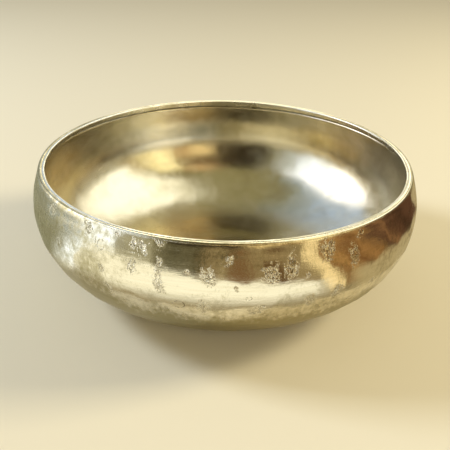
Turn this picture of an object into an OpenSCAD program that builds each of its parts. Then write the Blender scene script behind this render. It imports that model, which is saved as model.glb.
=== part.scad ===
// Hammered copper bowl.
// One sheet of copper is raised into a round-bellied bowl with a flat base, and its outside
// is hammered and tinned. A flat wire is soldered inside the lip to stiffen it, and makes
// the rim thick. The inside is wiped with tin up to the solder under that wire.
// Millimetres, +Z up. The origin is the middle of the base, on the table.

/* [Bowl] */
// Outside diameter across the rim
mouth_d = 191; // [150:1:240]
// Height from the table to the top of the rim
bowl_h = 67; // [54:1:90]
// How far the belly stands out past the rim, on each side
belly_swell = 4.5; // [2.5:0.5:8]
// How far below the rim the bowl is widest
belly_drop = 20; // [14:1:26]
// Diameter of the flat that the bowl stands on
base_d = 74; // [50:1:100]

/* [Sheet] */
// Thickness of the raised copper sheet
sheet_t = 1.4; // [0.8:0.1:2.4]
// Thickness of the tin wiped over the inside
lining_t = 0.3; // [0.2:0.05:0.6]

/* [Rim] */
// Thickness of the wire inside the lip, measured square to the wall
wire_t = 1.6; // [1:0.1:2.6]
// Height of the wire, measured down from the top of the rim
wire_h = 3.2; // [2:0.1:5]
// Radius filed on the lip's outside edge
lip_round = 0.6; // [0.2:0.1:0.8]
// Radius filed on the wire's inside edge
wire_round = 0.5; // [0.2:0.1:0.8]
// How far the solder runs out under the wire, and down the wall
solder_leg = 1.1; // [0.7:0.1:2]

/* [Hidden] */
$fn = 180;

// Spare length on a cut, so that it runs clear through what it cuts
cut = 2;
// Degrees by which one slice of the section runs on under the next, so that no gap is left
lap = 6;

belly_r = mouth_d / 2 + belly_swell;
belly_z = bowl_h - belly_drop;
base_r = base_d / 2;

// Between base and belly the wall is a quarter of an oval, drawn with two arcs that meet
// on one line through both centres. reach and belly_z are the oval's half axes.
reach = belly_r - base_r;
corner_to_corner = norm([reach, belly_z]);
side_arc_r = corner_to_corner * (corner_to_corner - reach + belly_z) / (2 * reach);
base_arc_r = corner_to_corner * (corner_to_corner + reach - belly_z) / (2 * belly_z);
join_angle = -atan2(reach, belly_z);
base_centre = [base_r, base_arc_r];
side_centre = [belly_r - side_arc_r, belly_z];

// Above the belly one arc leans in to the rim.
lip_arc_r = (belly_drop * belly_drop + belly_swell * belly_swell) / (2 * belly_swell);
lip_centre = [belly_r - lip_arc_r, belly_z];

// Depths below the outside face, square to the wall
wire_face = sheet_t + wire_t;
lining_face = sheet_t + lining_t;

wire_bottom = bowl_h - wire_h;
solder_bottom = wire_bottom - solder_leg;

// The point at this angle on a circle of this radius
function polar(r, angle) = [r * cos(angle), r * sin(angle)];

// Radius of the wall's face that is this far in from the outside, at a height above the belly
function wall_r(inset, z) =
    lip_centre.x + sqrt(pow(lip_arc_r - inset, 2) - pow(z - belly_z, 2));

// A slice of a disc between two angles that are less than 180 degrees apart
module slice(centre, r, from, to) {
    far = 2 * r;
    middle = (from + to) / 2;
    intersection() {
        translate(centre) circle(r);
        translate(centre)
            polygon([[0, 0], polar(far, from), polar(far, middle), polar(far, to)]);
    }
}

// Half of the bowl's section as if it were solid, taken in by inset all over and cut off at top
module solid_section(inset, top) {
    lip_r = lip_arc_r - inset;
    lip_end = asin((top - belly_z) / lip_r);
    intersection() {
        square([belly_r + cut, top]);
        union() {
            polygon([
                [0, inset],
                [base_r, inset],
                base_centre + polar(base_arc_r - inset - cut, join_angle),
                [belly_r - inset - cut, belly_z],
                [wall_r(inset, top) - cut, top],
                [0, top]
            ]);
            slice(base_centre, base_arc_r - inset, -90, join_angle);
            slice(side_centre, side_arc_r - inset, join_angle - lap, lap);
            slice(lip_centre, lip_r, 0, lip_end + lap);
        }
    }
}

// The layer of the wall between two depths below the outside face, up to top
module layer(outer, inner, top) {
    difference() {
        solid_section(outer, top);
        solid_section(inner, top + cut);
    }
}

// Files a round on the rim's edge, where the face at this depth meets the top. side is -1 where
// the metal lies inside that face, and 1 where it lies outside it.
module filed_edge(face, radius, side) {
    centre_r = lip_arc_r - face + side * radius;
    angle = asin((belly_drop - radius) / centre_r);
    centre = lip_centre + polar(centre_r, angle);
    beyond = lip_centre + polar(centre_r - side * 3 * radius, angle);
    difference() {
        children();
        difference() {
            polygon([
                centre,
                beyond,
                [beyond.x, bowl_h + cut],
                [centre.x, bowl_h + cut]
            ]);
            translate(centre) circle(radius);
        }
    }
}

// The raised sheet, from the flat base to the lip
module hammered_shell() {
    color("#c6c1ae")
        rotate_extrude()
            filed_edge(0, lip_round, -1)
                layer(0, sheet_t, bowl_h);
}

// The flat wire that lies against the inside of the lip and is flush with its top
module rim_wire() {
    color("#d8d3c0")
        rotate_extrude()
            filed_edge(wire_face, wire_round, 1)
                difference() {
                    layer(sheet_t, wire_face, bowl_h);
                    square([belly_r, wire_bottom]);
                }
}

// The solder run in under the wire, tapering down the wall to the lining's thickness
module rim_solder() {
    color("#b5b3a6")
        rotate_extrude()
            intersection() {
                solid_section(sheet_t, wire_bottom);
                polygon([
                    [wall_r(sheet_t + solder_leg, wire_bottom), wire_bottom],
                    [wall_r(lining_face, solder_bottom), solder_bottom],
                    [belly_r, solder_bottom],
                    [belly_r, wire_bottom]
                ]);
            }
}

// The tin wiped over the floor and wall
module tin_lining() {
    color("#cfccbf")
        rotate_extrude()
            layer(sheet_t, lining_face, solder_bottom);
}

hammered_shell();
rim_wire();
rim_solder();
tin_lining();
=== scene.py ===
import bpy
import numpy as np
from mathutils import Matrix, Vector


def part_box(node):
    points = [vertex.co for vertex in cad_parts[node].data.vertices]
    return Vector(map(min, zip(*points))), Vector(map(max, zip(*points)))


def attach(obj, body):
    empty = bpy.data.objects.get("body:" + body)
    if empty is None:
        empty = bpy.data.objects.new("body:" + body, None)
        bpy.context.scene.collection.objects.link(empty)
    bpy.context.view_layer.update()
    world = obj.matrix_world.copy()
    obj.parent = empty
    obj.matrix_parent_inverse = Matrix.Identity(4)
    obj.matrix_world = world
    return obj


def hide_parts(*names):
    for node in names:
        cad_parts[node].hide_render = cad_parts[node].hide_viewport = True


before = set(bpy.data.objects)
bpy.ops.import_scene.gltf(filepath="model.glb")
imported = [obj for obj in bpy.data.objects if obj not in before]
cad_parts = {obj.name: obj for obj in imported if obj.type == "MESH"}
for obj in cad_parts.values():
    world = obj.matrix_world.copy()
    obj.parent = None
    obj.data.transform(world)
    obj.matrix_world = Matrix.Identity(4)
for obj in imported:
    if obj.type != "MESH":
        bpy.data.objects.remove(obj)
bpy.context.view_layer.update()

# ---------------------------------------------------------------------------------------------
# Camera. It stands in front of the bowl and looks down into it, at a point on the bowl's axis a
# little under half its height. It is rolled slightly, as a camera held by hand is.
# ---------------------------------------------------------------------------------------------
MM = 0.001
CAMERA_BACK = 348.7 * MM
CAMERA_UP = 206.7 * MM
AIM_UP = 26.3 * MM
VIEW_ANGLE = np.radians(35.0)
CAMERA_ROLL = np.radians(1.41)

camera = bpy.data.objects.new("camera", bpy.data.cameras.new("camera"))
bpy.context.scene.collection.objects.link(camera)
camera.location = (0, -CAMERA_BACK, CAMERA_UP)
aim = Vector((0, 0, AIM_UP)) - camera.location
camera.rotation_euler = (
    aim.to_track_quat("-Z", "Y").to_matrix() @ Matrix.Rotation(CAMERA_ROLL, 3, "Z")
).to_euler()
camera.data.angle = VIEW_ANGLE
camera.data.clip_start = 10 * MM
camera.data.clip_end = 50
bpy.context.scene.camera = camera


# ---------------------------------------------------------------------------------------------
# Table. A plain pale top, wide enough to fill every view. It isn't part of the bowl.
# ---------------------------------------------------------------------------------------------
def linear(hex_colour):
    """The linear RGBA of an sRGB hex colour: each channel c becomes ((c + 0.055) / 1.055) ^ 2.4."""
    srgb = np.array([int(hex_colour[i : i + 2], 16) for i in (1, 3, 5)]) / 255
    rgb = np.where(srgb <= 0.04045, srgb / 12.92, ((srgb + 0.055) / 1.055) ** 2.4)
    return (*rgb.tolist(), 1.0)


def add(tree, kind, settings=None, links=None):
    """
    Adds a node to a material and returns it. settings are its properties and its sockets' own
    values, and links say what feeds a socket: a socket, or a node whose first output does.
    """
    node = tree.nodes.new(kind)
    for name, value in (settings or {}).items():
        if isinstance(name, int) or name in node.inputs:
            node.inputs[name].default_value = value
        else:
            setattr(node, name, value)
    for name, source in (links or {}).items():
        source = source.outputs[0] if isinstance(source, bpy.types.Node) else source
        tree.links.new(source, node.inputs[name])
    return node


def new_material(name):
    """An empty node material and its output node."""
    material = bpy.data.materials.new(name)
    material.use_nodes = True
    material.node_tree.nodes.clear()
    return material, add(material.node_tree, "ShaderNodeOutputMaterial")


TABLE_HALF = 3.0
table_paint, output = new_material("table_paint")
paint = add(
    table_paint.node_tree,
    "ShaderNodeBsdfPrincipled",
    {"Base Color": linear("#ece6cc"), "Roughness": 0.9, "Specular IOR Level": 0.0},
)
table_paint.node_tree.links.new(paint.outputs[0], output.inputs[0])
table_mesh = bpy.data.meshes.new("table")
table_mesh.from_pydata(
    [(x * TABLE_HALF, y * TABLE_HALF, 0) for x, y in ((-1, -1), (1, -1), (1, 1), (-1, 1))],
    [],
    [(0, 1, 2, 3)],
)
table = bpy.data.objects.new("table", table_mesh)
bpy.context.scene.collection.objects.link(table)
table.data.materials.append(table_paint)

# ---------------------------------------------------------------------------------------------
# Light. An even sky, a warm lamp on the right, a cool one on the left and a weak one in front
# light the table. The lamps don't show in the metal, which has the tent to reflect.
# ---------------------------------------------------------------------------------------------
world = bpy.data.worlds.new("soft_light")
world.use_nodes = True
sky = world.node_tree.nodes["Background"]
sky.inputs["Color"].default_value = linear("#fff2d8")
sky.inputs["Strength"].default_value = 0.27
bpy.context.scene.world = world
bpy.context.scene.view_settings.view_transform = "Standard"

for name, place, size, watts, colour in (
    ("warm_lamp", (0.95, 0.12, 0.62), 0.3, 9.0, "#fff0d0"),
    ("cool_lamp", (-0.95, 0.14, 0.72), 0.3, 9.4, "#e6eeff"),
    ("front_lamp", (0.1, -1.2, 0.6), 0.6, 4.6, "#fff0d8"),
):
    lamp = bpy.data.objects.new(name, bpy.data.lights.new(name, "AREA"))
    bpy.context.scene.collection.objects.link(lamp)
    lamp.location = place
    lamp.rotation_euler = (-lamp.location).to_track_quat("-Z", "Y").to_euler()
    lamp.data.size = size
    lamp.data.energy = watts
    lamp.data.color = linear(colour)[:3]
    lamp.visible_glossy = False

# ---------------------------------------------------------------------------------------------
# Backdrop. A plain pale wall round the table, so that no view from the side looks past the
# table's edge. Only the camera sees it, and it isn't part of the bowl.
# ---------------------------------------------------------------------------------------------
BACKDROP_R = 1.5
BACKDROP_TALL = 3.0
BACKDROP_PANES = 96
corner = np.linspace(0, 2 * np.pi, BACKDROP_PANES, endpoint=False)
foot = np.stack([BACKDROP_R * np.cos(corner), BACKDROP_R * np.sin(corner), 0 * corner], -1)
index = np.arange(BACKDROP_PANES)
after = np.roll(index, -1)
panes = np.stack([index, index + BACKDROP_PANES, after + BACKDROP_PANES, after], -1)
backdrop_mesh = bpy.data.meshes.new("backdrop")
backdrop_mesh.from_pydata(
    np.concatenate([foot, foot + (0, 0, BACKDROP_TALL)]).tolist(), [], panes.tolist()
)
backdrop = bpy.data.objects.new("backdrop", backdrop_mesh)
bpy.context.scene.collection.objects.link(backdrop)
pale_wall, output = new_material("pale_wall")
glow = add(pale_wall.node_tree, "ShaderNodeEmission", {"Color": linear("#d8cfb2")})
pale_wall.node_tree.links.new(glow.outputs[0], output.inputs[0])
backdrop_mesh.materials.append(pale_wall)
for ray in ("diffuse", "glossy", "shadow", "transmission", "volume_scatter"):
    setattr(backdrop, "visible_" + ray, False)

# ---------------------------------------------------------------------------------------------
# Tent. Polished metal shows what stands round it, so a tent of softly painted, glowing panels
# stands over the bowl and gives it a room to reflect. The panels are painted light: the bright
# ones are painted windows and highlights, the dark ones painted shade. Its skirt lies on the
# table all round and stops short of the bowl, and carries painted shadow and glare of the table.
# Only reflections see it, and it isn't part of the bowl.
# ---------------------------------------------------------------------------------------------
TENT_R = 1.4
SKIRT_LIFT = 0.5 * MM
TENT_BASE_GLOW = "#938a5e"
# Each panel: azimuths from and to, elevations from and to, width of its soft edge, all in
# degrees, then its colour and how much brighter than its colour it glows. Azimuth 0 is where
# the camera stands and 90 is on its right.
# Below level the panels paint the table as the metal mirrors it, with painted shadows and glare;
# above level they paint a room, whose brightest glowing panels are painted windows and highlights.
PANELS = (
    (-185, -72, -90, -9, 4, "#a3a284", 1.0),
    (-156, -72, -9, 4, 4, "#a9b3b2", 1.0),
    (-185, -150, 12, 36, 6, "#d0dae0", 1.0),
    (150, 185, 12, 36, 6, "#ded6ba", 1.0),
    (-185, -169, 12, 36, 4, "#fff8dc", 2.6),
    (170, 185, 12, 36, 4, "#fff8dc", 2.6),
    (-165, -70, 56, 66, 8, "#94a09e", 1.0),
    (-165, -72, 30, 58, 8, "#b4c8e4", 1.0),
    (-122, -76, 0, 52, 9, "#ffffff", 2.2),
    (-108, -84, 6, 40, 12, "#ffffff", 4.0),
    (-77, -56, -90, 54, 10, "#eaf3ff", 1.8),
    (-57, -42, 10, 50, 10, "#c9cdc6", 1.0),
    (-55, -31, -90, 14, 6, "#a8a284", 1.0),
    (-32, -9, -90, 14, 5, "#6e674b", 1.0),
    (-27, -24, -90, 14, 2, "#4e4a30", 1.0),
    (-20, -18, -90, 14, 2, "#57513a", 1.0),
    (-13, -9, -90, 14, 2, "#3c381f", 1.0),
    (-10, 13, -90, 14, 3, "#8f7c56", 1.0),
    (-4, -1, -90, 14, 2, "#a8966a", 1.0),
    (4, 12, -20, 8, 4, "#7a5b38", 1.0),
    (-32, 12, 12, 62, 8, "#2f2618", 1.0),
    (12, 41, -90, 14, 4, "#98845c", 1.0),
    (19, 29, -30, 4, 5, "#64492a", 1.0),
    (12, 30, 15, 35, 6, "#ffdf9c", 1.15),
    (28, 43, 14, 36, 6, "#c39d66", 1.0),
    (12, 43, 36, 54, 6, "#7a5f3a", 1.0),
    (11, 43, 53, 66, 6, "#d7b17a", 1.0),
    (43, 66, 12, 56, 6, "#ffefb4", 1.6),
    (42, 48, -90, 16, 2, "#ffe4a8", 1.1),
    (49, 79, -90, 12, 2, "#90693c", 1.0),
    (55, 59, -90, 12, 2, "#b48a50", 1.0),
    (64, 67, -90, 12, 2, "#704a28", 1.0),
    (71, 74, -90, 12, 2, "#a87c48", 1.0),
    (66, 80, 10, 42, 5, "#c4ab74", 1.0),
    (79, 124, -90, 14, 3, "#5c3f2b", 1.0),
    (86, 92, -90, 8, 4, "#8a6440", 1.0),
    (100, 106, -90, 14, 4, "#46301f", 1.0),
    (76, 152, 22, 76, 9, "#fffbe6", 1.7),
    (-190, 60, -90, -62, 4, "#9a8b66", 1.0),
    (-76, 40, -62, -20, 16, "#fffbe4", 1.18),
    (54, 190, -90, -20, 12, "#b8a67a", 1.0),
)


def smooth_step(low, high, value):
    """0 below low, 1 above high, and 3 t^2 - 2 t^3 between them."""
    t = np.clip((value - low) / (high - low), 0, 1)
    return t * t * (3 - 2 * t)


def tent_colour(azimuth, elevation):
    """
    The tent's light in each direction. Each panel is laid over the last with a share that is
    the product of four smooth steps, one at each of its edges.
    """
    colour = np.array(linear(TENT_BASE_GLOW)[:3]) + 0 * azimuth[..., None]
    for left, right, low, high, soft, hex_colour, glow in PANELS:
        share = 1.0
        for value, edge_low, edge_high in ((azimuth, left, right), (elevation, low, high)):
            share = share * smooth_step(edge_low - soft / 2, edge_low + soft / 2, value)
            share = share * smooth_step(-edge_high - soft / 2, -edge_high + soft / 2, -value)
        panel = np.array(linear(hex_colour)[:3]) * glow
        colour = colour + (panel - colour) * share[..., None]
    return colour


# The skirt's rows, from the bowl outwards, lie flat on the table. Each is coloured as the panels
# are at its elevation here, below level: painted shadow of the table near the bowl and at its
# sides, and a painted band of glare in front.
SKIRT_FACING = (-75, -66, -61, -50, -34, -12, -12, -5, -4)
skirt_rows = len(SKIRT_FACING)
azimuth = np.linspace(-180, 180, 721)[None, :]
rise = np.concatenate([np.zeros(skirt_rows), np.linspace(0, 89.5, 91)])[:, None]
facing = np.concatenate([SKIRT_FACING, rise[skirt_rows:, 0]])[:, None]

# turn_r is where the skirt's colour turns, from the panels at -34 degrees to those at -12. It
# grows with the square of the angle from WIDENS_FROM round to the left, and has set values
# beyond FAR_LEFT and BEHIND, which are azimuths too.
TURN_R = 170 * MM
TURN_GROWS = 75 * MM
WIDENS_FROM = 45
FAR_LEFT = -66
BEHIND = 118
TURN_R_FAR_LEFT = 125 * MM
TURN_R_BEHIND = 300 * MM
widening = (np.maximum(0, WIDENS_FROM - azimuth[0]) / WIDENS_FROM) ** 2
turn_r = np.select(
    [azimuth[0] > BEHIND, azimuth[0] < FAR_LEFT],
    [TURN_R_BEHIND, TURN_R_FAR_LEFT],
    np.minimum(TENT_R, TURN_R + TURN_GROWS * widening),
)

# Four rows lie at set radii next to the bowl or, where the turn is nearer, just inside it. One
# lies on each side of the turn, and two reach outwards to at least OUTER_R. The last is at the
# foot of the tent.
INNER_ROWS = (116 * MM, 126 * MM, 137 * MM, 150 * MM)
OUTER_R = 290 * MM
tent_r = TENT_R * np.cos(np.radians(rise)) + 0 * azimuth
for row, inner_r in enumerate(INNER_ROWS):
    tent_r[row] = np.minimum(inner_r, turn_r - (12 - 2 * row) * MM)
tent_r[4] = turn_r - 5 * MM
tent_r[5] = turn_r + 14 * MM
tent_r[6] = np.clip(turn_r + 24 * MM, OUTER_R, TENT_R)
tent_r[7] = np.minimum(tent_r[6] + 40 * MM, TENT_R)
tent_z = TENT_R * np.sin(np.radians(rise)) + SKIRT_LIFT + 0 * azimuth
sideways, forward = np.sin(np.radians(azimuth)), -np.cos(np.radians(azimuth))
tent_grid = np.stack([tent_r * sideways, tent_r * forward, tent_z], -1)
rows, columns = tent_grid.shape[:2]
index = np.arange(rows * columns).reshape(rows, columns)
quads = np.stack([index[:-1, :-1], index[:-1, 1:], index[1:, 1:], index[1:, :-1]], -1)
tent_mesh = bpy.data.meshes.new("tent")
tent_mesh.from_pydata(tent_grid.reshape(-1, 3).tolist(), [], quads.reshape(-1, 4).tolist())
light = tent_colour(*np.broadcast_arrays(azimuth, facing))
paint_layer = tent_mesh.color_attributes.new("light", "FLOAT_COLOR", "POINT")
paint_layer.data.foreach_set(
    "color", np.concatenate([light, np.ones((rows, columns, 1))], -1).astype(np.float32).ravel()
)
tent = bpy.data.objects.new("tent", tent_mesh)
bpy.context.scene.collection.objects.link(tent)
tent_painted_light, output = new_material("tent_painted_light")
layer = add(tent_painted_light.node_tree, "ShaderNodeAttribute", {"attribute_name": "light"})
glow = add(tent_painted_light.node_tree, "ShaderNodeEmission", links={"Color": layer.outputs["Color"]})
tent_painted_light.node_tree.links.new(glow.outputs[0], output.inputs[0])
tent_mesh.materials.append(tent_painted_light)
for ray in ("camera", "diffuse", "shadow", "transmission", "volume_scatter"):
    setattr(tent, "visible_" + ray, False)

# ---------------------------------------------------------------------------------------------
# Hammered shell. One sheet of copper, raised from a disc over a stake until it is a bowl, then
# planished all over with a round-faced hammer, tinned, and rubbed bright round the bowl. Rough
# patches, where the raising bit too deep to be rubbed out, are left in it. Its base is flat.
# ---------------------------------------------------------------------------------------------
belly_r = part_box("hammered_shell")[1].x
bowl_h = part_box("hammered_shell")[1].z
BELLY_SWELL = 4.5 * MM
BELLY_DROP = 20 * MM
BASE_R = 37 * MM
SHEET = 1.4 * MM
LIP_ROUND = 0.6 * MM
SEAM = 0.07 * MM
# Two slow waves round the wall: how many round, how large as a share of the radius, and a shift.
LOBES = ((2, 0.004, -1.9), (3, 0.005, 2.1))
belly_z = bowl_h - BELLY_DROP

reach = belly_r - BASE_R
corner_to_corner = np.hypot(reach, belly_z)
side_arc_r = corner_to_corner * (corner_to_corner - reach + belly_z) / (2 * reach)
base_arc_r = corner_to_corner * (corner_to_corner + reach - belly_z) / (2 * belly_z)
lip_arc_r = (BELLY_DROP**2 + BELLY_SWELL**2) / (2 * BELLY_SWELL)
join_angle = -np.arctan2(reach, belly_z)


def wall(angle, depth):
    """
    The radius and height of the wall's face that lies depth inside the outside face, where its
    outward normal rises at this angle. Each of three arcs covers a range of angles: the base's
    up to the join, the side's up to level and the lip's above that. A point is the arc's centre
    plus (arc radius - depth) times (cos, sin) of the angle.
    """
    in_base, in_lip = angle < join_angle, angle > 0
    arc_r = np.select([in_base, in_lip], [base_arc_r, lip_arc_r], side_arc_r)
    centre_r = np.select([in_base, in_lip], [BASE_R, belly_r - lip_arc_r], belly_r - side_arc_r)
    centre_z = np.where(in_base, base_arc_r, belly_z)
    return (
        centre_r + (arc_r - depth) * np.cos(angle),
        centre_z + (arc_r - depth) * np.sin(angle),
    )


def lip_angle(depth, height):
    """The normal's angle where the face at this depth reaches a height above the belly."""
    return np.arcsin((height - belly_z) / (lip_arc_r - depth))


def wall_angles(spacings, depth, top):
    """Normal angles from the flat base up to top, evenly spaced along each of the three arcs."""
    ends = [-np.pi / 2, join_angle, 0.0, lip_angle(depth, top)]
    arcs = [base_arc_r, side_arc_r, lip_arc_r]
    parts = [
        np.linspace(a, b, max(2, round(r * (b - a) / spacing)), endpoint=False)
        for spacing, r, a, b in zip(spacings, arcs, ends, ends[1:])
    ]
    return np.concatenate([*parts, ends[-1:]])


def round_the_axis(radius, height, turn):
    """
    Points at (radius cos turn, radius sin turn, height), with the bowl's slight lobes, which grow
    as the square of the height.
    """
    lobes = sum(share * np.cos(count * turn + shift) for count, share, shift in LOBES)
    radius = radius * (1 + lobes * (height / bowl_h) ** 2)
    return np.stack([radius * np.cos(turn), radius * np.sin(turn), height + 0 * turn], -1)


def skin(name, grid, poles=()):
    """
    A mesh over grid[row, column], whose columns run once round the axis. With two poles, the
    first and last rows are closed by fans to those points. With none, the last row joins the
    first, which makes a ring.
    """
    rows, columns = grid.shape[:2]
    index = np.arange(rows * columns).reshape(rows, columns)
    if not poles:
        index = np.vstack([index, index[:1]])
    after = np.roll(index, -1, axis=1)
    quads = np.stack([index[:-1], after[:-1], after[1:], index[1:]], -1).reshape(-1, 4)
    faces = quads.tolist()
    points = [*grid.reshape(-1, 3).tolist(), *poles]
    if poles:
        first, last = rows * columns, rows * columns + 1
        fan = np.stack([np.full(columns, first), after[0], index[0]], -1)
        faces += fan.tolist()
        fan = np.stack([np.full(columns, last), index[-1], after[-1]], -1)
        faces += fan.tolist()
    mesh = bpy.data.meshes.new(name)
    mesh.from_pydata(points, [], faces)
    mesh.polygons.foreach_set("use_smooth", np.ones(len(faces), bool))
    mesh.update()
    piece = bpy.data.objects.new(name, mesh)
    bpy.context.scene.collection.objects.link(piece)
    return piece


def outside_spot(front_turn, height):
    """
    A point of the outside, and the ways round and up the wall there. front_turn is in degrees
    from the front, to the right. Each arc gives the angle as arcsin(rise over its centre / its
    radius), and up the wall is the normal turned by a right angle.
    """
    turn = np.radians(front_turn - 90.0)
    in_base = height < base_arc_r * (1 + np.sin(join_angle))
    over = height - np.where(in_base, base_arc_r, belly_z)
    arc_r = np.select([in_base, height > belly_z], [base_arc_r, lip_arc_r], side_arc_r)
    angle = np.arcsin(over / arc_r)
    radius, height = wall(angle, 0)
    spot = round_the_axis(radius, height, turn)
    round_way = np.stack([-np.sin(turn), np.cos(turn), 0 * turn], -1)
    up_way = np.stack(
        [-np.sin(angle) * np.cos(turn), -np.sin(angle) * np.sin(turn), np.cos(angle)], -1
    )
    return spot, round_way, up_way


def hammer_marks(points, spots, ball_r, blow):
    """
    How far the planishing has pushed each point in. A blow leaves part of a ball: its depth less
    distance^2 / (2 x ball radius). Where blows overlap the deeper shows, and rubbing has softened
    the ridge between them, so they meet in a soft maximum, softness x ln(sum of e^(depth /
    softness)).
    """
    softness = 0.02 * MM
    total = np.zeros(points.shape[:-1])
    for spot, radius, depth in zip(spots, ball_r, blow):
        apart = ((points - spot) ** 2).sum(-1)
        total += np.exp((depth - apart / (2 * radius)) / softness)
    marks = softness * np.log(total)
    return marks - marks.min()


COLUMNS = 720
OUTSIDE_STEPS = (1.7 * MM, 0.8 * MM, 0.8 * MM)
HIDDEN_STEPS = (8 * MM, 8 * MM, 8 * MM)
PLAIN_LIP = 0.9 * MM
MARKS_FADE = 3.5 * MM
POLE_R = 2 * MM
FLOOR_R = 20 * MM
turn = np.linspace(0, 2 * np.pi, COLUMNS, endpoint=False)[None, :]
luck = np.random.default_rng(7)

# The section runs out over the base, up the outside, round the lip and down the inside, which
# the lining hides, so its rows are wide apart there.
lip_turns = np.arcsin((BELLY_DROP - LIP_ROUND) / (lip_arc_r - LIP_ROUND))
out_angles = wall_angles(OUTSIDE_STEPS, 0, bowl_h - PLAIN_LIP)
out_r, out_z = wall(out_angles, 0)
base_r = np.linspace(POLE_R, BASE_R, 8, endpoint=False)
bend = np.linspace(lip_turns, np.pi / 2, 6)
lip_r = belly_r - lip_arc_r + (lip_arc_r - LIP_ROUND) * np.cos(lip_turns) + LIP_ROUND * np.cos(bend)
lip_z = bowl_h - LIP_ROUND + LIP_ROUND * np.sin(bend)
in_angles = wall_angles(HIDDEN_STEPS, SHEET, bowl_h)[::-1]
in_r, in_z = wall(in_angles, SHEET)
in_z[0] = bowl_h - SEAM
section_r = np.concatenate([base_r, out_r, lip_r, [in_r[0] + SEAM], in_r, [FLOOR_R, POLE_R]])
section_z = np.concatenate([0 * base_r, out_z, lip_z, [bowl_h], in_z, [SHEET, SHEET]])
grid = round_the_axis(section_r[:, None], section_z[:, None], turn)
face = len(base_r) + len(out_r)
inward_r = np.concatenate([0 * base_r, -np.cos(out_angles)])[:, None]
inward_z = np.concatenate([1 + 0 * base_r, -np.sin(out_angles)])[:, None]
inward = np.stack([inward_r * np.cos(turn), inward_r * np.sin(turn), inward_z + 0 * turn], -1)

# The blows lie in courses, each set half a blow round from the last, and each blow strays from
# its place. BALL_R is the radius of the hammer's round face, in metres, and BLOW_DEEP how deep a
# blow goes, in millimetres.
BLOW_PITCH = 16.5 * MM
COURSE_PITCH = 14.5 * MM
FIRST_COURSE = 8 * MM
LAST_COURSE = 4 * MM
STRAY_ROUND = 0.22
STRAY_UP = 2.2 * MM
BALL_R = (0.17, 0.26)
BLOW_DEEP = (0.26, 0.34)
steps_out = np.hypot(np.diff(out_r, prepend=BASE_R), np.diff(out_z, prepend=0))
course_run = np.concatenate([base_r, BASE_R + np.cumsum(steps_out)])
courses = np.arange(course_run[-1] - FIRST_COURSE, LAST_COURSE, -COURSE_PITCH)
blow_spots = []
for number, run in enumerate(courses):
    course_r = np.interp(run, course_run, section_r[:face])
    count = max(5, round(2 * np.pi * course_r / BLOW_PITCH))
    stray = luck.uniform(-STRAY_ROUND, STRAY_ROUND, count)
    blow_turn = (np.arange(count) + 0.5 * (number % 2) + stray) / count
    runs = run + luck.uniform(-STRAY_UP, STRAY_UP, count)
    blow_spots.append(
        round_the_axis(
            np.interp(runs, course_run, section_r[:face]),
            np.interp(runs, course_run, section_z[:face]),
            2 * np.pi * blow_turn,
        )
    )
blow_spots = np.concatenate(blow_spots)
ball_r = luck.uniform(*BALL_R, len(blow_spots))
blow = luck.uniform(*BLOW_DEEP, len(blow_spots)) * MM
marks = hammer_marks(grid[:face], blow_spots, ball_r, blow)
marks = marks * smooth_step(0, MARKS_FADE, bowl_h - PLAIN_LIP - section_z[:face])[:, None]

# The rough patches that stand out most: degrees round from the front, height up the bowl, how
# wide and how tall, in millimetres, how far the patch leans to the right, in degrees, and its
# kind: 1, a rough patch, or 0.6, a smooth dent with a crisp edge. The rest are scattered.
ROUGH = 1.0
DENT = 0.6
PATCHES = np.array([
    (-37, 63, 8, 5, 60, 1), (-32.5, 58.5, 4, 5, 0, 0.6), (-28, 65, 3.5, 2.5, 0, 1),
    (-23, 63, 3, 5, 0, 1), (-20.3, 62, 3, 6, -20, 1), (-23, 53.5, 4.5, 7, 0, 1),
    (-32, 48, 3, 4, 0, 1), (-30.5, 38.5, 6, 3.5, 60, 1), (-16, 65, 4.5, 3, 0, 1),
    (-15.8, 57, 2.5, 5, -15, 1), (-16, 47.5, 5.5, 9, -10, 1), (-9, 54.5, 3, 2.5, 0, 1),
    (-3.6, 53, 6, 7.5, -20, 1), (-4.8, 38.5, 5.5, 7, 0, 1), (-11, 38, 5.5, 4.2, 0, 0.6),
    (1.3, 60, 3.2, 5, 15, 1), (3, 48, 1.8, 3.4, -30, 1), (6.2, 43, 2.8, 1.8, 0, 0.6),
    (8.2, 36, 7, 5.5, -30, 1), (11.5, 54.5, 7.5, 8.5, 20, 1), (16.8, 57, 5, 13, 0, 1),
    (20.8, 51.5, 2, 3, 0, 1), (22.3, 38.5, 5.5, 6, -20, 1), (26.3, 61, 7, 9.5, 0, 1),
    (34.5, 55.5, 5.5, 9, 0, 1), (37.5, 64.5, 3.5, 2.5, 0, 1), (30, 40, 5.5, 8, 35, 1),
    (43, 37.5, 4.5, 3.5, 0, 1),
])
OTHERS = 46
OTHERS_FROM = 50
OTHERS_OVER = 265
DENT_SHARE = 0.15
scattered = np.stack([
    OTHERS_FROM + (np.arange(OTHERS) + luck.uniform(0, 1, OTHERS)) * OTHERS_OVER / OTHERS,
    luck.uniform(16, 63, OTHERS),
    luck.uniform(2.5, 7.5, OTHERS),
    luck.uniform(3, 9, OTHERS),
    luck.uniform(-40, 40, OTHERS),
    np.where(luck.uniform(0, 1, OTHERS) < DENT_SHARE, DENT, ROUGH),
], -1)
PATCHES = np.concatenate([PATCHES, scattered])

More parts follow.
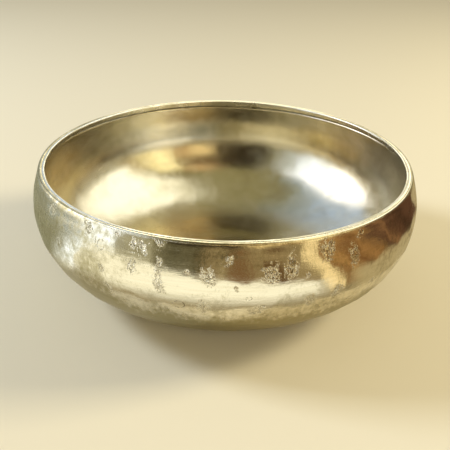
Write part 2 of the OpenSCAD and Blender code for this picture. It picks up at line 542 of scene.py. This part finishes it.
# Each point of the outside gets its place in the patch nearest to it, as u and v in half widths
# and half heights from the middle, and that patch's kind, or 0 beyond KIND_REACH. A patch is a
# shallow hollow, whose side slopes across its edge at 1.
PATCH_DEEP = 0.05 * MM
FAR = 9.0
KIND_REACH = 1.9
worn = np.zeros((*grid.shape[:2], 3))
worn[..., 0] = FAR
nearest = np.full((face, COLUMNS), FAR)
spots, round_ways, up_ways = outside_spot(PATCHES[:, 0], PATCHES[:, 1] * MM)
for spot, round_way, up_way, patch in zip(spots, round_ways, up_ways, PATCHES):
    wide, tall, lean, kind = patch[2:]
    lean = np.radians(lean)
    across = (grid[:face] - spot) @ round_way
    up = (grid[:face] - spot) @ up_way
    u = (across * np.cos(lean) - up * np.sin(lean)) / (wide * MM / 2)
    v = (across * np.sin(lean) + up * np.cos(lean)) / (tall * MM / 2)
    same_side = (grid[:face] * spot).sum(-1) > 0
    away = np.where(same_side, np.hypot(u, v), FAR)
    closer = away < nearest
    nearest = np.where(closer, away, nearest)
    place = np.stack([u, v, np.where(away < KIND_REACH, kind, 0)], -1)
    worn[:face] = np.where(closer[..., None], place, worn[:face])
sunk = PATCH_DEEP * smooth_step(-1.15, -0.75, -nearest)
grid[:face] += inward * (marks + sunk)[..., None]
shell = skin("hammered_shell_sheet", grid, [(0, 0, grid[0, :, 2].mean()), (0, 0, SHEET)])

run = np.zeros(grid.shape[:2])
run[:face] = course_run[:, None]
layer = shell.data.attributes.new("run_along_wall", "FLOAT", "POINT")
layer.data.foreach_set("value", np.append(run.ravel(), [0, 0]).astype(np.float32))
layer = shell.data.attributes.new("place_in_patch", "FLOAT_VECTOR", "POINT")
worn = np.append(worn.ravel(), [FAR, 0, 0, FAR, 0, 0]).astype(np.float32)
layer.data.foreach_set("vector", worn)

# Tinned copper, hammered, then rubbed round the bowl with fine abrasive: a soft mirror of pale
# champagne, that smears what it reflects up and down, across the rubbing.
tinned_copper, output = new_material("tinned_hammered_copper")
tree = tinned_copper.node_tree
here = add(tree, "ShaderNodeTexCoord").outputs["Object"]
xyz = add(tree, "ShaderNodeSeparateXYZ", links={"Vector": here})
run_here = add(tree, "ShaderNodeAttribute", {"attribute_name": "run_along_wall"})
along = add(
    tree,
    "ShaderNodeCombineXYZ",
    links={"X": xyz.outputs["X"], "Y": xyz.outputs["Y"], "Z": run_here.outputs["Fac"]},
)

# Each pattern is a noise: what it lies on, the sizes of its features in millimetres, its
# detail, how rough that detail is, and its twist. Rubbing lines are a tenth of a millimetre
# apart, and are drawn here about ten times coarser.
patterns = {}
for name, source, sizes, detail, rough, twist in (
    ("rubbing lines", along, (20, 20, 1), 3, 0.7, 0),
    ("ripple", along, (9, 9, 2.2), 2, 0.6, 0),
    ("dimple", here, (5, 5, 5), 2, 0.5, 0),
    ("pitting", here, (1.3, 1.3, 2.2), 3, 0.65, 0.4),
    ("worms", here, (2.1, 2.1, 4.2), 2, 0.55, 1.4),
    ("patch outline", here, (2, 2, 2.8), 4, 0.7, 0),
    ("clouds", here, (24, 24, 20), 5, 0.7, 0.4),
    ("blotches", here, (2.4, 2.4, 3.2), 3, 0.7, 0),
    ("streaks", along, (22, 22, 1.2), 3, 0.6, 0),
):
    scale = [1 / (size * MM) for size in sizes]
    sized = add(tree, "ShaderNodeMapping", {"Scale": scale}, {"Vector": source})
    patterns[name] = add(
        tree,
        "ShaderNodeTexNoise",
        {"Scale": 1.0, "Detail": detail, "Roughness": rough, "Distortion": twist},
        {"Vector": sized},
    )

# How far each point is out from the middle of its patch, made ragged by a noise: 1 is its edge.
place = add(tree, "ShaderNodeAttribute", {"attribute_name": "place_in_patch"}).outputs["Vector"]
kind = add(tree, "ShaderNodeSeparateXYZ", links={"Vector": place}).outputs["Z"]
flat = {"operation": "MULTIPLY", 1: (1, 1, 0)}
in_plane = add(tree, "ShaderNodeVectorMath", flat, {0: place})
off_middle = add(tree, "ShaderNodeVectorMath", {"operation": "LENGTH"}, {0: in_plane})
off_middle = off_middle.outputs["Value"]
raggedness = {"operation": "MULTIPLY_ADD", 1: 3.6}
ragged = add(
    tree, "ShaderNodeMath", raggedness, {0: patterns["patch outline"], 2: off_middle}
)
ragged = add(tree, "ShaderNodeMath", {"operation": "SUBTRACT", 1: 1.8}, {0: ragged})
step = {"interpolation_type": "SMOOTHSTEP"}
inside_patch = {**step, "From Min": 1.0, "From Max": 0.8}
inside_patch = add(tree, "ShaderNodeMapRange", inside_patch, {"Value": ragged})
is_rough = add(
    tree, "ShaderNodeMapRange", {**step, "From Min": 0.7, "From Max": 0.9}, {"Value": kind}
)
rough_patch = add(
    tree, "ShaderNodeMath", {"operation": "MULTIPLY"}, {0: inside_patch, 1: is_rough}
)
# The crisp edge of a smooth dent is a broken line at its outline.
is_dent = add(
    tree, "ShaderNodeMath", {"operation": "COMPARE", 1: DENT, 2: 0.15}, {0: kind}
)
on_edge = {"operation": "COMPARE", 1: 0.95, 2: 0.1}
on_edge = add(tree, "ShaderNodeMath", on_edge, {0: off_middle})
edge = add(tree, "ShaderNodeMath", {"operation": "MULTIPLY"}, {0: is_dent, 1: on_edge})
broken = {**step, "From Min": 0.42, "From Max": 0.58}
broken = add(tree, "ShaderNodeMapRange", broken, {"Value": patterns["worms"]})
edge = add(tree, "ShaderNodeMath", {"operation": "MULTIPLY"}, {0: edge, 1: broken})

# Worm-like ridges under 1 mm apart are the contour lines of a stretched, twisted noise.
contours = add(
    tree, "ShaderNodeMath", {"operation": "MULTIPLY", 1: 30.0}, {0: patterns["worms"]}
)
worms = add(tree, "ShaderNodeMath", {"operation": "SINE"}, {0: contours})
worms = add(tree, "ShaderNodeMath", {"operation": "MULTIPLY"}, {0: worms, 1: rough_patch})
groove = add(
    tree, "ShaderNodeMapRange", {**step, "From Min": -0.45, "From Max": -0.95}, {"Value": worms}
)

# The relief is a sum, in millimetres, of each pattern times its depth.
height = None
for pattern, depth in (
    (patterns["rubbing lines"], 0.022),
    (patterns["ripple"], 0.045),
    (patterns["dimple"], 0.03),
    (patterns["pitting"], 0.032),
    (worms, 0.06),
    (edge, -0.04),
):
    so_far = {2: height} if height else {}
    height = add(
        tree, "ShaderNodeMath", {"operation": "MULTIPLY_ADD", 1: depth}, {0: pattern, **so_far}
    )
relief = add(tree, "ShaderNodeBump", {"Strength": 1.0, "Distance": MM}, {"Height": height})

# Tarnish has come back in clouds. Towards the left and underneath the colour is darkened further
# as painted shade, and the grooves are darkened to a dark brown.
painted_shade_left = {**step, "From Min": -30 * MM, "From Max": -85 * MM, "To Max": 0.3}
painted_shade_left = add(tree, "ShaderNodeMapRange", painted_shade_left, {"Value": xyz.outputs["X"]})
painted_shade_under = {**step, "From Min": 42 * MM, "From Max": 18 * MM, "To Max": 0.6}
painted_shade_under = add(tree, "ShaderNodeMapRange", painted_shade_under, {"Value": xyz.outputs["Z"]})
tarnish_and_painted_shade = add(
    tree, "ShaderNodeMath", {"operation": "ADD"}, {0: patterns["clouds"], 1: painted_shade_left}
)
tarnish_and_painted_shade = add(tree, "ShaderNodeMath", {"operation": "ADD"}, {0: tarnish_and_painted_shade, 1: painted_shade_under})
tarnish_and_painted_shade = add(
    tree,
    "ShaderNodeMath",
    {"operation": "MULTIPLY_ADD", 1: 0.6},
    {0: patterns["blotches"], 2: tarnish_and_painted_shade},
)
tarnish_and_painted_shade = add(
    tree, "ShaderNodeMapRange", {**step, "From Min": 0.76, "From Max": 1.24}, {"Value": tarnish_and_painted_shade}
)
bright = {"data_type": "RGBA", 6: linear("#f3ecd8"), 7: linear("#a0966f")}
colour = add(tree, "ShaderNodeMix", bright, {0: tarnish_and_painted_shade}).outputs[2]
streaks = {**step, "From Min": 0.3, "From Max": 0.75, "To Max": 0.25}
streaks = add(tree, "ShaderNodeMapRange", streaks, {"Value": patterns["streaks"]})
rubbed = {"data_type": "RGBA", 7: linear("#cfc39c")}
colour = add(tree, "ShaderNodeMix", rubbed, {0: streaks, 6: colour}).outputs[2]
# The grooves and the dents' crisp edges are mixed half way to a dark brown.
dark_grooves_and_edges = add(tree, "ShaderNodeMath", {"operation": "MAXIMUM"}, {0: groove, 1: edge})
dark_grooves_and_edges = add(tree, "ShaderNodeMath", {"operation": "MULTIPLY", 1: 0.5}, {0: dark_grooves_and_edges})
dark = {"data_type": "RGBA", 7: linear("#57472a")}
colour = add(tree, "ShaderNodeMix", dark, {0: dark_grooves_and_edges, 6: colour}).outputs[2]
# Tarnish, and the painted shade on the left and underneath, are duller than bright metal, and the
# rubbing is uneven.
dulled = {**step, "To Min": 0.09, "To Max": 0.27}
dulled = add(tree, "ShaderNodeMapRange", dulled, {"Value": tarnish_and_painted_shade})
roughness = add(
    tree,
    "ShaderNodeMath",
    {"operation": "MULTIPLY_ADD", 1: 0.12},
    {0: patterns["rubbing lines"], 2: dulled},
)
round_bowl = add(tree, "ShaderNodeTangent", {"direction_type": "RADIAL", "axis": "Z"})
metal = add(
    tree,
    "ShaderNodeBsdfPrincipled",
    {"Metallic": 1.0, "Anisotropic": 0.5, "Anisotropic Rotation": 0.25},
    {"Base Color": colour, "Roughness": roughness, "Normal": relief, "Tangent": round_bowl},
)
tree.links.new(metal.outputs[0], output.inputs[0])
shell.data.materials.append(tinned_copper)
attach(shell, "root")
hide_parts("hammered_shell")

# ---------------------------------------------------------------------------------------------
# Rim wire. A flat wire of tinned copper, bent round inside the lip and soldered there, then
# filed flush with the lip and rubbed bright, so that the rim looks 3 mm thick. A fine seam
# shows where it meets the sheet.
# ---------------------------------------------------------------------------------------------
WIRE = 1.6 * MM
WIRE_TALL = 3.2 * MM
WIRE_ROUND = 0.5 * MM
# Bending and filing by hand left the inside edge in or out by up to about a tenth of a
# millimetre, in waves: how many round, how large in millimetres, and a shift.
WANDER = ((9, 0.05, 1), (23, 0.04, 0), (41, 0.03, 0))


def waves(turn, rows):
    """The sum of waves round the axis, each its size times sin(count times turn plus shift)."""
    return sum(size * MM * np.sin(count * turn + shift) for count, size, shift in rows)


wire_turn = np.linspace(0, 2 * np.pi, 600, endpoint=False)[None, :]
wire_face = SHEET + WIRE
wire_bottom = bowl_h - WIRE_TALL
rising = lip_angle(SHEET, np.linspace(wire_bottom, bowl_h - SEAM, 4))
outer_r, outer_z = wall(rising, SHEET)
round_at = lip_arc_r - wire_face + WIRE_ROUND
round_turn = np.arcsin((BELLY_DROP - WIRE_ROUND) / round_at)
bend = np.linspace(np.pi / 2, np.pi + round_turn, 8)
edge_r = belly_r - lip_arc_r + round_at * np.cos(round_turn) + WIRE_ROUND * np.cos(bend)
edge_z = belly_z + round_at * np.sin(round_turn) + WIRE_ROUND * np.sin(bend)
falling = lip_angle(wire_face, np.linspace(edge_z[-1], wire_bottom, 5)[1:])
inner_r, inner_z = wall(falling, wire_face)
top_r = np.linspace(outer_r[-1] - SEAM, edge_r[0], 5)[:-1]
wire_r = np.concatenate([outer_r, top_r, edge_r, inner_r])[:, None]
wire_z = np.concatenate([outer_z, 0 * top_r + bowl_h, edge_z, inner_z])[:, None]
inside = np.clip((outer_r.mean() - wire_r) / WIRE, 0, 1)
wire_grid = round_the_axis(wire_r + waves(wire_turn, WANDER) * inside, wire_z, wire_turn)
wire = skin("rim_wire_flat", wire_grid)

# Tinned copper wire, filed and then rubbed along its length: brighter than the sheet, with
# fine lines along the wire, and greyer in patches.
tinned_wire, output = new_material("tinned_wire_filed")
tree = tinned_wire.node_tree
here = add(tree, "ShaderNodeTexCoord").outputs["Object"]
filed = {"Scale": 1 / (1.3 * MM), "Detail": 3, "Roughness": 0.6}
filed = add(tree, "ShaderNodeTexNoise", filed, {"Vector": here})
dulled = {"Scale": 1 / (14 * MM), "Detail": 3, "Roughness": 0.6}
dulled = add(tree, "ShaderNodeTexNoise", dulled, {"Vector": here})
dulled = add(
    tree, "ShaderNodeMapRange", {**step, "From Min": 0.35, "From Max": 0.75}, {"Value": dulled}
)
bright = {"data_type": "RGBA", 6: linear("#fbf8f0"), 7: linear("#dad4bc")}
colour = add(tree, "ShaderNodeMix", bright, {0: dulled}).outputs[2]
relief = {"Strength": 1.0, "Distance": 0.012 * MM}
relief = add(tree, "ShaderNodeBump", relief, {"Height": filed})
roughness = {"To Min": 0.19, "To Max": 0.3}
roughness = add(tree, "ShaderNodeMapRange", roughness, {"Value": dulled})
roughness = add(
    tree, "ShaderNodeMath", {"operation": "MULTIPLY_ADD", 1: 0.06}, {0: filed, 2: roughness}
)
round_bowl = add(tree, "ShaderNodeTangent", {"direction_type": "RADIAL", "axis": "Z"})
metal = add(
    tree,
    "ShaderNodeBsdfPrincipled",
    {"Metallic": 1.0, "Anisotropic": 0.4, "Anisotropic Rotation": 0.25},
    {"Base Color": colour, "Roughness": roughness, "Normal": relief, "Tangent": round_bowl},
)
tree.links.new(metal.outputs[0], output.inputs[0])
wire.data.materials.append(tinned_wire)
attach(wire, "root")
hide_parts("rim_wire")

# ---------------------------------------------------------------------------------------------
# Rim solder. Tin solder that was drawn in under the wire by heat. It holds the wire, and ends
# in a hollow fillet that tapers down the wall to the thickness of the lining.
# ---------------------------------------------------------------------------------------------
SOLDER_LEG = 1.1 * MM
LINING = 0.3 * MM
HOLLOW_PULL_IN = 0.25 * MM
HOLLOW_PULL_UP = 0.3 * MM
LUMPS = ((17, 0.05, 2), (38, 0.04, 0), (71, 0.03, 0))
lining_face = SHEET + LINING
solder_bottom = wire_bottom - SOLDER_LEG
solder_turn = np.linspace(0, 2 * np.pi, 480, endpoint=False)[None, :]
back_r, back_z = wall(lip_angle(SHEET, np.linspace(solder_bottom, wire_bottom, 3)), SHEET)
start_r, _ = wall(lip_angle(SHEET + SOLDER_LEG, wire_bottom), SHEET + SOLDER_LEG)
end_r, _ = wall(lip_angle(lining_face, solder_bottom), lining_face)
# The hollow is a quadratic curve pulled towards the corner between the wire and the wall.
t = np.linspace(0, 1, 7)
corner_r = end_r - HOLLOW_PULL_IN
corner_z = wire_bottom - HOLLOW_PULL_UP
hollow_r = (1 - t) ** 2 * start_r + 2 * t * (1 - t) * corner_r + t**2 * end_r
hollow_z = (1 - t) ** 2 * wire_bottom + 2 * t * (1 - t) * corner_z + t**2 * solder_bottom
solder_r = np.concatenate([back_r, hollow_r])[:, None]
solder_z = np.concatenate([back_z, hollow_z])[:, None]
free = np.concatenate([0 * back_r, np.sin(np.pi * t)])[:, None]
solder_grid = round_the_axis(solder_r + waves(solder_turn, LUMPS) * free, solder_z, solder_turn)
solder = skin("rim_solder_fillet", solder_grid)

# Tin solder, left as it froze: grey, duller than the wire, with a slight pebble to it.
tin_solder, output = new_material("tin_solder_as_frozen")
tree = tin_solder.node_tree
here = add(tree, "ShaderNodeTexCoord").outputs["Object"]
pebble = {"Scale": 1 / (1.2 * MM), "Detail": 3, "Roughness": 0.6, "Distortion": 0.5}
pebble = add(tree, "ShaderNodeTexNoise", pebble, {"Vector": here})
grime = {"Scale": 1 / (7 * MM), "Detail": 3, "Roughness": 0.6}
grime = add(tree, "ShaderNodeTexNoise", grime, {"Vector": here})
grime = add(
    tree, "ShaderNodeMapRange", {**step, "From Min": 0.35, "From Max": 0.7}, {"Value": grime}
)
grey = {"data_type": "RGBA", 6: linear("#ded9c8"), 7: linear("#a89f84")}
colour = add(tree, "ShaderNodeMix", grey, {0: grime}).outputs[2]
relief = {"Strength": 1.0, "Distance": 0.08 * MM}
relief = add(tree, "ShaderNodeBump", relief, {"Height": pebble})
roughness = {**step, "From Min": 0.3, "From Max": 0.7, "To Min": 0.42, "To Max": 0.55}
roughness = add(tree, "ShaderNodeMapRange", roughness, {"Value": pebble})
metal = add(
    tree,
    "ShaderNodeBsdfPrincipled",
    {"Metallic": 1.0},
    {"Base Color": colour, "Roughness": roughness, "Normal": relief},
)
tree.links.new(metal.outputs[0], output.inputs[0])
solder.data.materials.append(tin_solder)
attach(solder, "root")
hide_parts("rim_solder")

# ---------------------------------------------------------------------------------------------
# Tin lining. Pure tin, melted on the hot bowl and wiped over the floor and wall with a pad, up
# to the solder. It keeps the sheet's shape, so the hammer marks show through it faintly.
# ---------------------------------------------------------------------------------------------
LINING_STEPS = (1.6 * MM, 1.6 * MM, 1.6 * MM)
LINING_POLE_R = 1.5 * MM
SHOWS_THROUGH = 0.3
RIDGES_STAND = 0.06 * MM
LINING_FADE = 6 * MM
lining_turn = np.linspace(0, 2 * np.pi, 540, endpoint=False)[None, :]
under_r, under_z = wall(wall_angles(HIDDEN_STEPS, SHEET, solder_bottom), SHEET)
over_angles = wall_angles(LINING_STEPS, lining_face, solder_bottom)[::-1]
over_r, over_z = wall(over_angles, lining_face)
floor_r = np.linspace(BASE_R, LINING_POLE_R, 24, endpoint=False)[1:]
lining_r = np.concatenate([[POLE_R, FLOOR_R], under_r, over_r, floor_r])[:, None]
lining_z = np.concatenate([[SHEET, SHEET], under_z, over_z, 0 * floor_r + lining_face])[:, None]
lining_grid = round_the_axis(lining_r, lining_z, lining_turn)
shows = 2 + len(under_r)
out_r = np.concatenate([np.cos(over_angles), 0 * floor_r])[:, None]
out_z = np.concatenate([np.sin(over_angles), -1 + 0 * floor_r])[:, None]
outward = np.stack(
    [out_r * np.cos(lining_turn), out_r * np.sin(lining_turn), out_z + 0 * lining_turn], -1
)
# The marks show at a third of their depth or less. The ridges between them stand RIDGES_STAND
# proud of the lining's true face, and the deepest marks sink about as far below it.
faint = SHOWS_THROUGH * hammer_marks(lining_grid[shows:], blow_spots, ball_r, blow)
faded = np.clip((solder_bottom - lining_z[shows:]) / LINING_FADE, 0, 1)
faint = (faint - RIDGES_STAND) * faded
lining_grid[shows:] -= outward * faint[..., None]
poles = [(0, 0, SHEET), (0, 0, lining_grid[-1, :, 2].mean())]
lining = skin("tin_lining_wiped", lining_grid, poles)

# Tin, wiped while it was molten: a satin, slightly milky mirror with soft swirls from the pad.
wiped_tin, output = new_material("wiped_tin")
tree = wiped_tin.node_tree
here = add(tree, "ShaderNodeTexCoord").outputs["Object"]
patterns = {}
for name, sizes, detail, rough, twist in (
    ("swirls", (16, 16, 9), 3, 0.55, 1.5),
    ("strokes", (9, 9, 3), 2, 0.5, 0.6),
    ("milky", (30, 30, 30), 3, 0.6, 0),
):
    scale = [1 / (size * MM) for size in sizes]
    sized = add(tree, "ShaderNodeMapping", {"Scale": scale}, {"Vector": here})
    patterns[name] = add(
        tree,
        "ShaderNodeTexNoise",
        {"Scale": 1.0, "Detail": detail, "Roughness": rough, "Distortion": twist},
        {"Vector": sized},
    )
milky = {**step, "From Min": 0.4, "From Max": 0.75}
milky = add(tree, "ShaderNodeMapRange", milky, {"Value": patterns["milky"]})
bright = {"data_type": "RGBA", 6: linear("#ece6d4"), 7: linear("#d4ccb4")}
colour = add(tree, "ShaderNodeMix", bright, {0: milky}).outputs[2]
height = add(
    tree, "ShaderNodeMath", {"operation": "MULTIPLY", 1: 0.03}, {0: patterns["swirls"]}
)
height = add(
    tree,
    "ShaderNodeMath",
    {"operation": "MULTIPLY_ADD", 1: 0.006},
    {0: patterns["strokes"], 2: height},
)
relief = add(tree, "ShaderNodeBump", {"Strength": 1.0, "Distance": MM}, {"Height": height})
roughness = {**step, "From Min": 0.3, "From Max": 0.7, "To Min": 0.2, "To Max": 0.26}
roughness = add(tree, "ShaderNodeMapRange", roughness, {"Value": patterns["swirls"]})
metal = add(
    tree,
    "ShaderNodeBsdfPrincipled",
    {"Metallic": 1.0},
    {"Base Color": colour, "Roughness": roughness, "Normal": relief},
)
tree.links.new(metal.outputs[0], output.inputs[0])
lining.data.materials.append(wiped_tin)
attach(lining, "root")
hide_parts("tin_lining")
